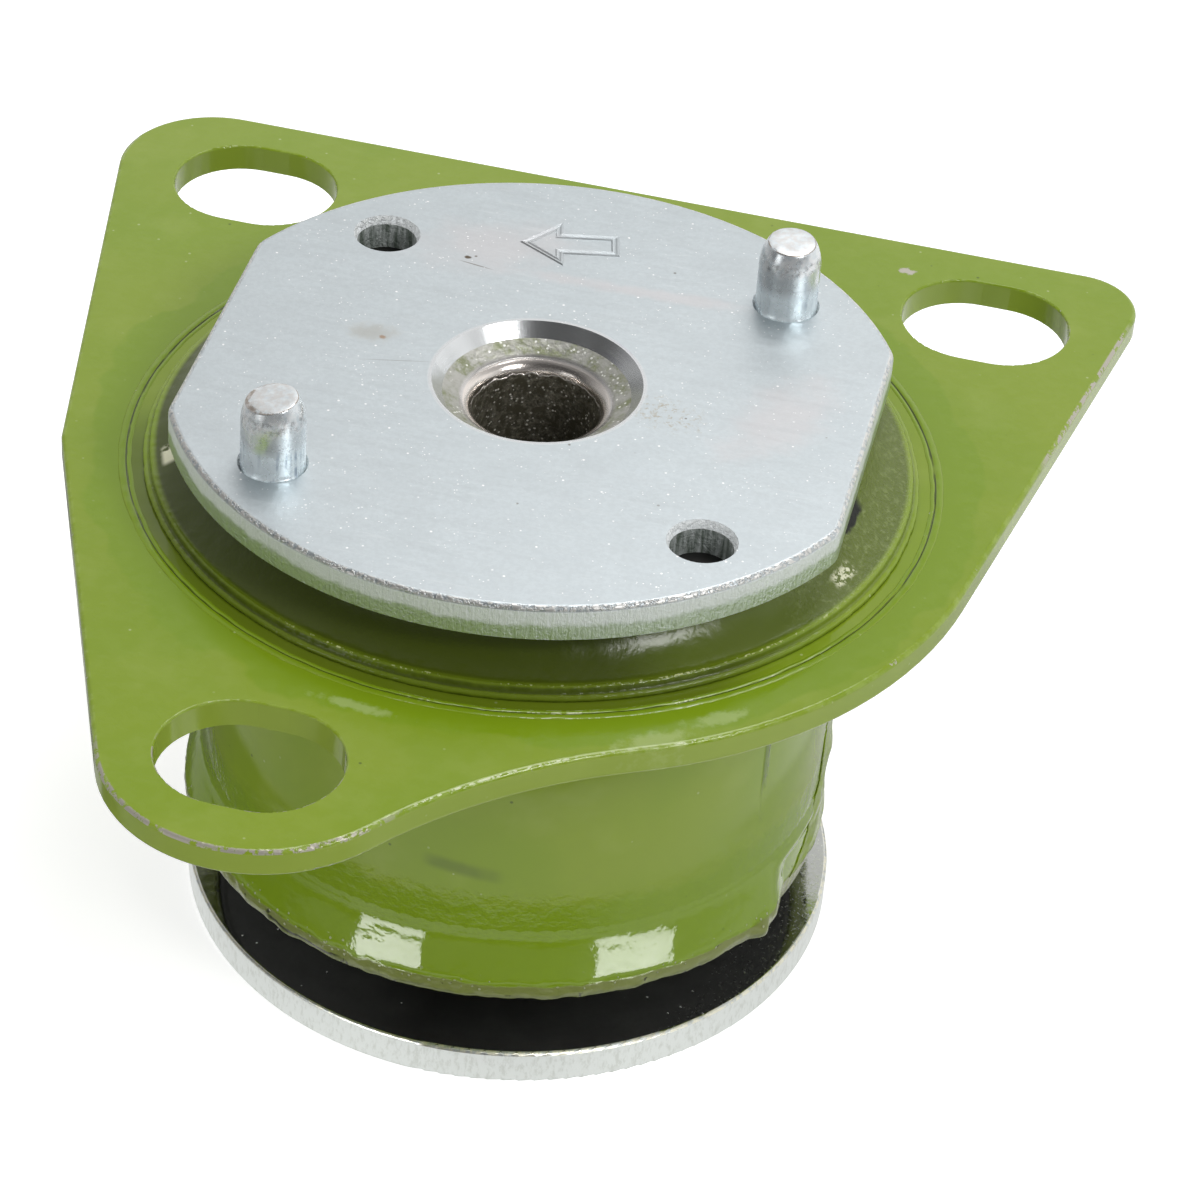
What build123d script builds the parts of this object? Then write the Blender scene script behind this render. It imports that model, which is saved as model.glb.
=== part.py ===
from build123d import *
from math import atan2, degrees
import os

# Subframe bushing: a rubber mount in a steel cup, hung in a flange bracket with three slots
# The origin is on the bore's axis at the underside of the lower disc, and +Z runs up the bore
# +X runs along the bracket's straight back edge, and +Y points at that edge
# Lengths are in millimetres and angles in degrees

# Heights: the cup's depth is what the others leave of the stack
stack_height = 85.7  # from the lower disc's underside to the top plate's top face
disc_thickness = 5.4
lower_gap = 9.5  # open gap between the lower disc and the rubber lip
lip_depth = 2.3  # rubber below the cup's rim
upper_gap = 7.9  # open gap between the bracket's top face and the top plate
top_plate_thickness = 5.0

# Top plate
hole_circle_diameter = 81.0  # the pins and the two open holes share it
top_plate_rim = 9.5  # from the hole circle out to the plate's round edge
top_plate_flat_depth = 4.7  # from the plate's round edge in to each of the two flats
top_plate_corner_radius = 5.0
top_plate_edge_radius = 0.8
top_plate_turn = 1.2  # the plate stands turned by this much from the bracket's back edge
plate_hole_diameter = 8.4
hole_rim_diameter = 9.4  # across the chamfer of all four holes
hole_chamfer_angle = 46.0  # full angle of the chamfer

# Locating pins
pin_diameter = 8.6
pin_spigot_diameter = 8.0  # pressed into the top plate
pin_height = 10.6  # above the top plate
pin_nose_length = 3.6
pin_tip_diameter = 6.7

# Lower disc
disc_diameter = 93.2
disc_edge_radius = 0.5

# Inner tube
tube_diameter = 25.6
bore_diameter = 17.5
tube_recess = 1.9  # from the outer face of each plate in to the tube's rim
tube_dish = 2.2  # fall of each end face from the tube's rim in to the bore
tube_mouth_radius = 2.0
sink_flare = 1.5  # radial spread of the countersink above each end of the tube

# Outer cup, drawn from sheet
cup_diameter = 88.6
cup_wall = 2.0
cup_flange_diameter = 110.0
cup_bend_radius = 1.5

# Rubber body
bond_layer = 0.2  # coat between the rubber and the cup
rubber_top_diameter = 90.0
flank_sag = 1.0  # hollow of the conical flank
bead_diameter = 105.6
bead_width = 1.8
bead_height = 1.8  # above the bracket's top face
bead_step = 0.4  # the upper half of the bead is smaller by this much all round
bead_step_height = 1.0
lip_flare = 2.2  # spread of the lip beyond the cup's outside
lip_overlap = 11.0  # how far the lip laps up the outside of the cup, thinning as it climbs
lip_feather = 0.2  # thickness of the lip's upper edge
lip_sag = 0.7  # hollow of the lip's outer side
lip_inset = 0.2  # the lip's flat underside reaches this far in past the cup's bore
lip_edge_radius = 0.9
lower_face_rise = 8.0  # the lower face climbs by this much from the lip to the tube
lower_face_sag = 2.5  # hollow of the lower face

# Flange bracket
bracket_thickness = 4.0
bracket_edge_radius = 0.7
slot_edge_radius = 0.3
seat_clearance = 0.1  # between the cup and its seat in the bracket, on the radius
back_edge = 70.8  # from the axis to the straight back edge
front_radius = 62.9
left_ear_x = -63.9
left_ear_radius = 14.2
right_ear_x = 65.6
right_ear_radius = 8.6
left_corner = (-59.9, -14.5)
left_corner_radius = 2.5
lobe_centre = (-16.6, -69.1)
lobe_radius = 20.9
blend_radius = 75.0  # hollow side between the lobe and the round front
slot_width = 20.2
slot_length = 24.2
slot_centres = [(-56.5, 53.5), (53.5, 53.5), (-17.3, -72.1)]

os.makedirs("parts", exist_ok=True)

# Levels and radii that follow from the sizes
lip_bottom = disc_thickness + lower_gap
cup_rim = lip_bottom + lip_depth
plate_underside = stack_height - top_plate_thickness
bracket_top = plate_underside - upper_gap
bracket_underside = bracket_top - bracket_thickness
tube_radius = tube_diameter / 2
bore_radius = bore_diameter / 2
pin_radius = pin_diameter / 2
spigot_radius = pin_spigot_diameter / 2
cup_radius = cup_diameter / 2
cup_inner_radius = cup_radius - cup_wall
flange_radius = cup_flange_diameter / 2
plate_plane = Plane.XY.offset(plate_underside).rotated((0, 0, top_plate_turn))

# Top plate: round with two flats, a countersunk middle hole and four holes on one circle
top_plate_diameter = hole_circle_diameter + 2 * top_plate_rim
across_flats = top_plate_diameter - 2 * top_plate_flat_depth
middle_sink_angle = 2 * degrees(atan2(sink_flare, tube_recess))
with BuildPart() as top_plate:
    with BuildSketch(plate_plane):
        Circle(top_plate_diameter / 2)
        Rectangle(across_flats, top_plate_diameter, mode=Mode.INTERSECT)
    extrude(amount=top_plate_thickness)
    fillet(top_plate.edges().filter_by(Axis.Z), top_plate_corner_radius)
    fillet(top_plate.faces().sort_by(Axis.Z)[-1].edges(), top_plate_edge_radius)
    with Locations(plate_plane.offset(top_plate_thickness)):
        CounterSinkHole(
            tube_radius, tube_radius + sink_flare, counter_sink_angle=middle_sink_angle
        )
        with PolarLocations(hole_circle_diameter / 2, 2, start_angle=45):
            CounterSinkHole(
                spigot_radius, hole_rim_diameter / 2, counter_sink_angle=hole_chamfer_angle
            )
        with PolarLocations(hole_circle_diameter / 2, 2, start_angle=135):
            CounterSinkHole(
                plate_hole_diameter / 2,
                hole_rim_diameter / 2,
                counter_sink_angle=hole_chamfer_angle,
            )
top_plate.part.label = "top_plate"
export_step(top_plate.part, "parts/top_plate.step")

# Lower disc: round, with the same countersunk hole opening downwards
with BuildPart() as lower_disc:
    with BuildSketch():
        Circle(disc_diameter / 2)
    extrude(amount=disc_thickness)
    fillet(lower_disc.edges(), disc_edge_radius)
    with Locations(-Plane.XY):
        CounterSinkHole(
            tube_radius, tube_radius + sink_flare, counter_sink_angle=middle_sink_angle
        )
lower_disc.part.label = "lower_disc"
export_step(lower_disc.part, "parts/lower_disc.step")

# Inner tube: both ends stop short of the plates' outer faces and are dished towards the bore
upper_end = stack_height - tube_recess
with BuildPart() as inner_tube:
    with BuildSketch(Plane.XZ) as tube_section:
        with BuildLine():
            Polyline(
                (bore_radius, tube_recess + tube_dish),
                (tube_radius, tube_recess),
                (tube_radius, upper_end),
                (bore_radius, upper_end - tube_dish),
                close=True,
            )
        make_face()
        fillet(tube_section.vertices().group_by(Axis.X)[0], tube_mouth_radius)
    revolve(axis=Axis.Z)
inner_tube.part.label = "inner_tube"
export_step(inner_tube.part, "parts/inner_tube.step")


def locating_pin(foot):
    """A spigot in the plate, and on it a round pin with a curved nose and a small flat tip."""
    shoulder = top_plate_thickness + pin_height - pin_nose_length
    tip = top_plate_thickness + pin_height
    with BuildPart() as pin:
        with BuildSketch(Plane(foot, x_dir=(1, 0, 0), z_dir=(0, -1, 0))):
            with BuildLine():
                Polyline(
                    (0, tip),
                    (0, 0),
                    (spigot_radius, 0),
                    (spigot_radius, top_plate_thickness),
                    (pin_radius, top_plate_thickness),
                    (pin_radius, shoulder),
                )
                TangentArc((pin_radius, shoulder), (pin_tip_diameter / 2, tip), tangent=(0, 1))
                Line((pin_tip_diameter / 2, tip), (0, tip))
            make_face()
        revolve(axis=Axis(foot, (0, 0, 1)))
    return pin


# Locating pins: pressed into two opposite holes, flush with the plate's underside
with Locations(plate_plane):
    pin_feet = PolarLocations(hole_circle_diameter / 2, 2, start_angle=45).locations
for pin_name, pin_foot in zip(("back_pin", "front_pin"), pin_feet):
    pin = locating_pin(pin_foot.position)
    pin.part.label = pin_name
    export_step(pin.part, f"parts/{pin_name}.step")

# Outer cup: flange, bend and straight wall
flange_underside = bracket_top - cup_wall
bend_end = cup_radius + cup_bend_radius
with BuildPart() as outer_cup:
    with BuildSketch(Plane.XZ):
        with BuildLine():
            Line((bend_end, bracket_top), (flange_radius, bracket_top))
            Line((flange_radius, bracket_top), (flange_radius, flange_underside))
            Line((flange_radius, flange_underside), (bend_end, flange_underside))
            JernArc((bend_end, flange_underside), (-1, 0), cup_bend_radius, 90)
            Line((cup_radius, flange_underside - cup_bend_radius), (cup_radius, cup_rim))
            Line((cup_radius, cup_rim), (cup_inner_radius, cup_rim))
            Line((cup_inner_radius, cup_rim), (cup_inner_radius, flange_underside - cup_bend_radius))
            JernArc((bend_end, bracket_top), (-1, 0), cup_bend_radius + cup_wall, 90)
        make_face()
    revolve(axis=Axis.Z)
outer_cup.part.label = "outer_cup"
export_step(outer_cup.part, "parts/outer_cup.step")

# Rubber body: bonded to the tube and the top plate, one coat away from the cup it fills
rubber_radius = cup_inner_radius - bond_layer
bead_radius = bead_diameter / 2
bead_top = bracket_top + bead_height
step_level = bracket_top + bead_step_height
seat_level = bracket_top + bond_layer
rubber_bend = cup_bend_radius + cup_wall + bond_layer
lip_radius = cup_radius + lip_flare
lip_inner_radius = cup_radius + bond_layer
lower_face_radius = rubber_radius - lip_inset
with BuildPart() as rubber_body:
    with BuildSketch(Plane.XZ):
        with BuildLine():
            Polyline(
                (tube_radius, lip_bottom + lower_face_rise),
                (tube_radius, plate_underside),
                (rubber_top_diameter / 2, plate_underside),
            )
            SagittaArc(
                (rubber_top_diameter / 2, plate_underside),
                (bead_radius - bead_width, bead_top),
                -flank_sag,
            )
            Polyline(
                (bead_radius - bead_width, bead_top),
                (bead_radius - bead_step * 2, bead_top),
                (bead_radius - bead_step, bead_top - bead_step),
                (bead_radius - bead_step, step_level),
                (bead_radius, step_level - bead_step),
                (bead_radius, seat_level),
                (bend_end, seat_level),
            )
            JernArc((bend_end, seat_level), (-1, 0), rubber_bend, 90)
            Polyline(
                (bend_end - rubber_bend, seat_level - rubber_bend),
                (rubber_radius, cup_rim - bond_layer),
                (lip_inner_radius, cup_rim - bond_layer),
                (lip_inner_radius, cup_rim + lip_overlap),
                (lip_inner_radius + lip_feather, cup_rim + lip_overlap),
            )
            SagittaArc(
                (lip_inner_radius + lip_feather, cup_rim + lip_overlap),
                (lip_radius, lip_bottom + lip_edge_radius),
                -lip_sag,
            )
            JernArc(
                (lip_radius, lip_bottom + lip_edge_radius), (0, -1), lip_edge_radius, -90
            )
            Line((lip_radius - lip_edge_radius, lip_bottom), (lower_face_radius, lip_bottom))
            SagittaArc(
                (lower_face_radius, lip_bottom),
                (tube_radius, lip_bottom + lower_face_rise),
                -lower_face_sag,
            )
        make_face()
    revolve(axis=Axis.Z)
rubber_body.part.label = "rubber_body"
export_step(rubber_body.part, "parts/rubber_body.step")

# Flange bracket: the outline is two hulls of round corners with a hollow blend between them
with BuildSketch(Plane.XY.offset(bracket_underside)) as lobe_side:
    with Locations(left_corner):
        Circle(left_corner_radius)
    with Locations(lobe_centre):
        Circle(lobe_radius)
    make_hull()
with BuildPart() as flange_bracket:
    with BuildSketch(Plane.XY.offset(bracket_underside)) as outline:
        Circle(front_radius)
        with Locations((left_ear_x, back_edge - left_ear_radius)):
            Circle(left_ear_radius)
        with Locations((right_ear_x, back_edge - right_ear_radius)):
            Circle(right_ear_radius)
        with Locations(left_corner):
            Circle(left_corner_radius)
        make_hull()
        with Locations(lobe_centre):
            Circle(lobe_radius)
        notch = outline.vertices().sort_by_distance((0, -front_radius, bracket_underside))[0]
        fillet(notch, blend_radius)
        add(lobe_side.sketch)
        with Locations(slot_centres):
            SlotOverall(slot_length, slot_width, mode=Mode.SUBTRACT)
    extrude(amount=bracket_thickness)
    underside, top_face = flange_bracket.faces().filter_by(Axis.Z).sort_by(Axis.Z)
    fillet(top_face.inner_wires().edges(), slot_edge_radius)
    fillet(top_face.outer_wire().edges() + underside.outer_wire().edges(), bracket_edge_radius)
    with Locations(Plane.XY.offset(bracket_top)):
        CounterBoreHole(cup_radius + seat_clearance, flange_radius + seat_clearance, cup_wall)
    seat = flange_bracket.faces().filter_by(Axis.Z).sort_by(Axis.Z)[-2]
    chamfer(seat.inner_wires()[0].edges(), cup_bend_radius)
flange_bracket.part.label = "flange_bracket"
export_step(flange_bracket.part, "parts/flange_bracket.step")
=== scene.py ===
import math
import bpy
from mathutils import Matrix, Vector, noise


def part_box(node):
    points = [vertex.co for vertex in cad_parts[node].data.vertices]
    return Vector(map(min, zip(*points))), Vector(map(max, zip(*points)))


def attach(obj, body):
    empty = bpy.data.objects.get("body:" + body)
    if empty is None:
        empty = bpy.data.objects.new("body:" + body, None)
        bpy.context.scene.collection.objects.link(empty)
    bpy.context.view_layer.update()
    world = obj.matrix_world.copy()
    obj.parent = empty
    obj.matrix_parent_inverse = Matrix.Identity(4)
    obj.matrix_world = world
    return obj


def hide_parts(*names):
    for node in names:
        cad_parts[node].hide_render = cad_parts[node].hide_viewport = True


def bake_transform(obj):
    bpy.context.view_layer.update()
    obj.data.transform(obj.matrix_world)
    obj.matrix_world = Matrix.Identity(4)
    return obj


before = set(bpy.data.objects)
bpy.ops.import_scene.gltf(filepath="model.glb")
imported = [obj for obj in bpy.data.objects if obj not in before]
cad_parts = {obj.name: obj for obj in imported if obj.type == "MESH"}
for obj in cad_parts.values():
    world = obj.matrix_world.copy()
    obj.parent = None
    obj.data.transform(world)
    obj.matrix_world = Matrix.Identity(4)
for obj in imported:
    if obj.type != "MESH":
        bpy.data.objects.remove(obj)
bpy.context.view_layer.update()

# Subframe bushing: green paint brushed over a rubber mount, its cup and its bracket
# Lengths here are millimetres, and MM turns them into Blender's metres
MM = 0.001


def low(node, axis):
    """A node's lowest place along an axis, in millimetres."""
    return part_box(node)[0][axis] / MM


def high(node, axis):
    """A node's highest place along an axis, in millimetres."""
    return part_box(node)[1][axis] / MM


X, Y, Z = 0, 1, 2
plate_top = high("top_plate", Z)
plate_underside = low("top_plate", Z)
bracket_top = high("flange_bracket", Z)
disc_radius = high("lower_disc", X)
tube_radius = 12.8
tube_end = high("inner_tube", Z)
bore_radius = 8.75
cup_rim = low("outer_cup", Z)
cup_radius = 44.3
bead_radius = high("rubber_body", X)
lip_bottom = low("rubber_body", Z)
lip_radius = 46.5
lip_top = cup_rim + 11.0
pin_top = high("back_pin", Z)
pin_radius = 4.3
pin_tip_radius = 3.1
pin_nose = 4.0
hole_circle_radius = 40.5
first_hole_angle = 46.2
seam_radius = 55.05


# Materials

any_height = 1e4


class Nodes:
    """A node tree, with the sums that its masks are made of."""

    def __init__(self, tree):
        self.tree = tree

    def node(self, kind, **settings):
        made = self.tree.nodes.new(kind)
        for key, value in settings.items():
            setattr(made, key, value)
        return made

    def feed(self, socket, value):
        """Gives a socket a value, or the output of another node."""
        if isinstance(value, bpy.types.NodeSocket):
            self.tree.links.new(value, socket)
        elif isinstance(value, tuple) and len(value) == 3 and socket.type == "RGBA":
            socket.default_value = (*value, 1.0)
        else:
            socket.default_value = value

    def fill(self, made, *values):
        """Feeds a node's inputs in their order, and gives its output."""
        for socket, value in zip(made.inputs, values):
            self.feed(socket, value)
        return made.outputs[0]

    def parts(self, vector):
        """A vector's X, Y and Z."""
        made = self.node("ShaderNodeSeparateXYZ")
        self.feed(made.inputs[0], vector)
        return made.outputs

    def math(self, operation, a, b=0.0):
        return self.fill(self.node("ShaderNodeMath", operation=operation), a, b)

    def chain(self, operation, *values):
        """Joins the values one after another."""
        joined = values[0]
        for value in values[1:]:
            joined = self.math(operation, joined, value)
        return joined

    def total(self, *values):
        return self.chain("ADD", *values)

    def both(self, *masks):
        """Where all masks are on."""
        return self.chain("MULTIPLY", *masks)

    def any(self, *masks):
        """Where at least one mask is on."""
        return self.chain("MAXIMUM", *masks)

    def off(self, mask):
        """Where a mask is off."""
        return self.math("SUBTRACT", 1.0, mask)

    def length(self, a, b):
        return self.math("SQRT", self.total(self.both(a, a), self.both(b, b)))

    def ramp(self, value, start, end, first=0.0, last=1.0):
        """Goes smoothly from first at start to last at end, and is held outside them."""
        made = self.node("ShaderNodeMapRange", interpolation_type="SMOOTHSTEP")
        return self.fill(made, value, start, end, first, last)

    def band(self, value, start, end, soft):
        """On between start and end, with edges this soft."""
        rising = self.ramp(value, start - soft, start + soft)
        falling = self.ramp(value, end - soft, end + soft, 1.0, 0.0)
        return self.both(rising, falling)


class Finish(Nodes):
    """One material: its shader, its colour and relief so far, and its places in millimetres."""

    def __init__(self, name, colour):
        self.material = bpy.data.materials.new(name)
        self.material.use_nodes = True
        super().__init__(self.material.node_tree)
        self.shader = self.tree.nodes["Principled BSDF"]
        self.colour = colour
        self.relief = []
        scaled = self.node("ShaderNodeVectorMath", operation="SCALE")
        self.feed(scaled.inputs[0], self.node("ShaderNodeTexCoord").outputs["Object"])
        scaled.inputs["Scale"].default_value = 1 / MM
        self.place = scaled.outputs[0]
        self.x, self.y, self.z = self.parts(self.place)
        self.radius = self.length(self.x, self.y)
        self.angle = self.math("DEGREES", self.math("ARCTAN2", self.y, self.x))
        self.up = self.parts(self.node("ShaderNodeNewGeometry").outputs["Normal"])[2]

    def mapped(self, location, scale=(1, 1, 1), turn=0.0, kind="POINT"):
        """The place, moved, scaled and turned by degrees."""
        made = self.node("ShaderNodeMapping", vector_type=kind)
        return self.fill(made, self.place, location, (0, 0, math.radians(turn)), scale)

    def noise(self, size, detail=2.0, roughness=0.5, stretch=(1, 1, 1), shift=0.0, warp=0.0, place=None):
        """Noise whose lumps measure about size, longer where stretch is over 1."""
        place = place or self.place
        if stretch != (1, 1, 1) or shift:
            place = self.mapped((shift, shift * 0.7, shift * 1.3), [1 / s for s in stretch])
        made = self.node("ShaderNodeTexNoise")
        for key, value in (("Vector", place), ("Scale", 1 / size), ("Detail", detail),
                           ("Roughness", roughness), ("Distortion", warp)):
            self.feed(made.inputs[key], value)
        return made.outputs[0]

    def round_noise(self, size, along, shift=0.0):
        """Noise in turned coordinates: lumps of this size, along times longer round the axis."""
        joined = self.fill(self.node("ShaderNodeCombineXYZ"), self.total(self.radius, shift),
                           self.math("DIVIDE", self.angle, along), self.z)
        return self.noise(size, place=joined)

    def grain(self, start, end, *size, **shape):
        """A mask from noise: off where the noise is under start, on where it is over end."""
        return self.ramp(self.noise(*size, **shape), start, end)

    def wander(self, reach, *size, **shape):
        """Noise about zero, of this reach from its lowest to its highest."""
        return self.both(self.math("SUBTRACT", self.noise(*size, **shape), 0.5), reach)

    def spots(self, size, share, soft=0.1, shift=0.0):
        """Round grains on a jittered grid of this size: share of the cell that they fill."""
        made = self.node("ShaderNodeTexVoronoi")
        self.feed(made.inputs["Vector"], self.mapped((shift, shift, shift)))
        made.inputs["Scale"].default_value = 1 / size
        return self.ramp(made.outputs["Distance"], share, share + soft, 1.0, 0.0)

    def patch(self, centre, size, ragged, grain, soft=0.25, turn=0.0):
        """A ragged oval patch at any height: centre and size in X and Y, turned by degrees."""
        away = self.node("ShaderNodeVectorMath", operation="LENGTH")
        self.feed(away.inputs[0], self.mapped((*centre, 0.0), (*size, any_height), turn, "TEXTURE"))
        reach = self.total(away.outputs["Value"], self.wander(ragged * 4, grain, 4.0, 0.6))
        return self.ramp(reach, 1 - soft, 1 + soft, 1.0, 0.0)

    def mix(self, mask, base, over):
        """The base colour, with the other over it where the mask is on."""
        made = self.node("ShaderNodeMix", data_type="RGBA")
        for index, value in ((0, mask), (6, base), (7, over)):
            self.feed(made.inputs[index], value)
        return made.outputs[2]

    def blend(self, mask, base, over):
        """The base value, with the other over it where the mask is on."""
        made = self.node("ShaderNodeMix", data_type="FLOAT")
        for index, value in ((0, mask), (2, base), (3, over)):
            self.feed(made.inputs[index], value)
        return made.outputs[0]

    def cover(self, mask, colour, share=None):
        """Lays a colour over the finish where the mask is on, by this share if one is given."""
        if share is not None:
            mask = self.both(mask, share)
        self.colour = self.mix(mask, self.colour, colour)

    def emboss(self, height, depth):
        """Adds relief of this depth in millimetres."""
        self.relief.append(self.both(height, depth))

    def done(self, **inputs):
        """Sets the shader's sockets by their names, with underscores for spaces."""
        if self.relief:
            bump = self.node("ShaderNodeBump")
            bump.inputs["Distance"].default_value = MM
            self.feed(bump.inputs["Height"], self.total(*self.relief))
            inputs["Normal"] = bump.outputs[0]
        for key, value in {"Base_Color": self.colour, **inputs}.items():
            self.feed(self.shader.inputs[key.replace("_", " ")], value)
        return self.material


PAINT = (0.205, 0.285, 0.017)
PAINT_RICH = (0.165, 0.262, 0.006)
PAINT_PALE = (0.250, 0.325, 0.048)
# Thin paint over black rubber, also laid on as painted shade
PAINT_THIN_AND_SHADED = (0.046, 0.062, 0.004)
GRIME = (0.020, 0.026, 0.006)
BARE_STEEL = (0.50, 0.47, 0.40)
BLACK_RUBBER = (0.010, 0.010, 0.009)
ZINC = (0.625, 0.675, 0.695)
WHITE = (1.0, 1.0, 1.0)
CARD = (0.80, 0.80, 0.80)

# In what follows f is the finish that is being made; places are millimetres and degrees


def paint_coat(f, peel=0.010, wave=0.07):
    """Thick glossy paint: drifts, dust and dark specks in it, and its waves."""
    f.cover(f.grain(0.35, 0.65, 24.0), PAINT_RICH, 0.45)
    f.cover(f.grain(0.52, 0.75, 9.0, 3.0, shift=40.0), PAINT_PALE, 0.35)
    f.cover(f.both(f.spots(3.1, 0.04, 0.04), f.grain(0.45, 0.6, 14.0)), (0.45, 0.52, 0.25), 0.6)
    specks = f.both(f.spots(4.3, 0.035, 0.03, shift=17.0), f.grain(0.5, 0.6, 11.0))
    f.cover(specks, (0.05, 0.08, 0.01), 0.7)
    f.emboss(f.noise(14.0, shift=5.0), wave)
    f.emboss(f.noise(2.4), peel)


def green_bracket():
    """The bracket's paint: darker and richer round the seam, beaded and worn to steel along its edges,
    with painted highlights on its edges, painted reflections near the seam and painted light on its
    sides.
    """
    f = Finish("green_bracket_paint", PAINT)
    paint_coat(f, wave=0.05)
    round_seam = f.ramp(f.total(f.radius, f.wander(9.0, 11.0, 3.0)), 61.5, 60.5)
    f.cover(f.both(round_seam, f.ramp(f.up, 0.9, 0.98)), PAINT_RICH, 0.75)
    edge = f.band(f.up, 0.25, 0.95, 0.05)
    front_line = f.both(f.ramp(f.y, -70.0, -76.0), f.band(f.x, -36.0, 2.0, 3.0))
    right_line = f.both(f.ramp(f.x, 64.0, 67.0), f.band(f.y, 22.0, 58.0, 3.0))
    lines = f.both(edge, f.any(front_line, right_line), f.grain(0.44, 0.52, 1.8, 4.0, 0.7))
    grazed = f.both(edge, f.grain(0.64, 0.69, 1.6, 4.0, 0.7, shift=9.0),
                    f.grain(0.48, 0.60, 16.0, shift=9.0))
    bead = f.both(f.band(f.up, 0.30, 0.985, 0.03), f.ramp(f.radius, 57.0, 59.0),
                  f.grain(0.42, 0.60, 2.6, 4.0, 0.65))
    # Painted highlight: the paint beads along the edges are painted paler.
    f.cover(bead, (0.40, 0.50, 0.16), 0.20)
    # A pale dotted line on the front top edges: worn paint, with a painted highlight on it.
    worn_highlit_front = f.both(f.band(f.up, 0.78, 0.95, 0.03), f.band(f.angle, -92.0, -52.0, 4.0),
                        f.grain(0.46, 0.54, 0.9, 4.0, 0.7, shift=31.0),
                        f.grain(0.36, 0.50, 9.0, shift=30.0))
    f.cover(worn_highlit_front, (0.72, 0.76, 0.52), 0.8)
    # Painted reflections: pale blotches on the top in front of the seam.
    places = (((30.3, -53.4), (4.6, 1.4), 30.0), ((36.5, -47.0), (4.0, 1.1), 38.0),
              ((-8.0, -58.6), (5.0, 0.8), -6.0))
    reflection_blotches = f.any(*(f.patch(centre, size, 0.6, 1.6, 0.4, turn) for centre, size, turn in places))
    f.cover(reflection_blotches, (0.46, 0.54, 0.26), 0.35)
    # Painted light: the side faces are painted paler.
    f.cover(f.ramp(f.up, 0.4, 0.1), PAINT_PALE, 0.6)
    left_chip = f.patch((-79.5, -6.0), (4.0, 1.1), 0.5, 1.2, turn=95.0)
    back_chip = f.patch((40.3, 62.9), (1.3, 0.7), 0.5, 1.2)
    bare = f.any(lines, grazed, back_chip, left_chip)
    f.cover(bare, BARE_STEEL)
    joint = f.band(f.radius, seam_radius - 0.02, seam_radius + 0.16, 0.07)
    f.cover(f.both(joint, f.grain(0.30, 0.46, 9.0, 3.0)), GRIME, 0.9)
    f.emboss(bead, 0.04)
    rough = f.blend(bare, f.ramp(f.noise(6.0), 0.3, 0.7, 0.08, 0.16), 0.45)
    return f.done(Metallic=f.both(bare, 0.6), IOR=1.5, Roughness=rough)


def cup_coat(f):
    """Paint shared by the cup and the lip: wavy, and darker and richer low down with a ragged border, a
    painted dark reflection of the shaded floor.
    """
    paint_coat(f, peel=0.006, wave=0.10)
    f.emboss(f.noise(7.0, stretch=(1, 1, 4.0), shift=3.0), 0.05)
    # Painted reflection: darker and richer below about 30 mm, standing in for the shaded floor that the
    # wall mirrors.
    f.cover(f.ramp(f.total(f.z, f.wander(7.0, 5.0, 4.0, 0.6)), 31.5, 29.5), PAINT_RICH, 0.65)
    f.emboss(f.both(f.band(f.z, 25.0, 33.0, 2.0), f.noise(2.6, 4.0, 0.6, shift=15.0)), 0.16)
    f.emboss(f.both(f.ramp(f.z, 28.0, 26.0), f.noise(1.5, 3.0, shift=18.0)), 0.035)


def green_cup():
    """The cup's paint, with a dark smudge, a run down the wall and painted shade on its flange."""
    f = Finish("green_cup_paint", PAINT)
    cup_coat(f)
    slanted = f.band(f.total(f.z, f.both(f.angle, 0.12)), 25.0, 27.0, 0.7)
    smudge = f.both(f.band(f.angle, -91.5, -78.5, 1.5), slanted,
                    f.ramp(f.noise(5.0, 1.0), 0.25, 0.60, 0.55, 1.0))
    f.cover(smudge, (0.05, 0.08, 0.015), 0.45)
    streak = f.both(f.band(f.angle, -27.6, -26.2, 0.4), f.band(f.z, 36.0, 52.0, 3.0),
                    f.grain(0.40, 0.6, 2.0, 3.0, stretch=(1, 1, 3.0)))
    f.cover(streak, (0.09, 0.14, 0.02), 0.7)
    f.emboss(streak, 0.15)
    # Painted shade: the top of the flange is painted darker on the shaded front and left.
    ring = f.both(f.ramp(f.up, 0.9, 0.98), f.ramp(f.z, 72.0, 72.6))
    shaded_side = f.band(f.angle, -170.0, -45.0, 12.0)
    f.cover(f.both(ring, f.ramp(shaded_side, 0.0, 1.0, 0.0, 0.55)), PAINT_THIN_AND_SHADED)
    f.cover(f.both(ring, f.band(f.radius, 54.75, seam_radius, 0.15)), GRIME, 0.8)
    return f.done(IOR=1.5, Roughness=f.ramp(f.noise(5.0), 0.3, 0.7, 0.04, 0.10))


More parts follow.
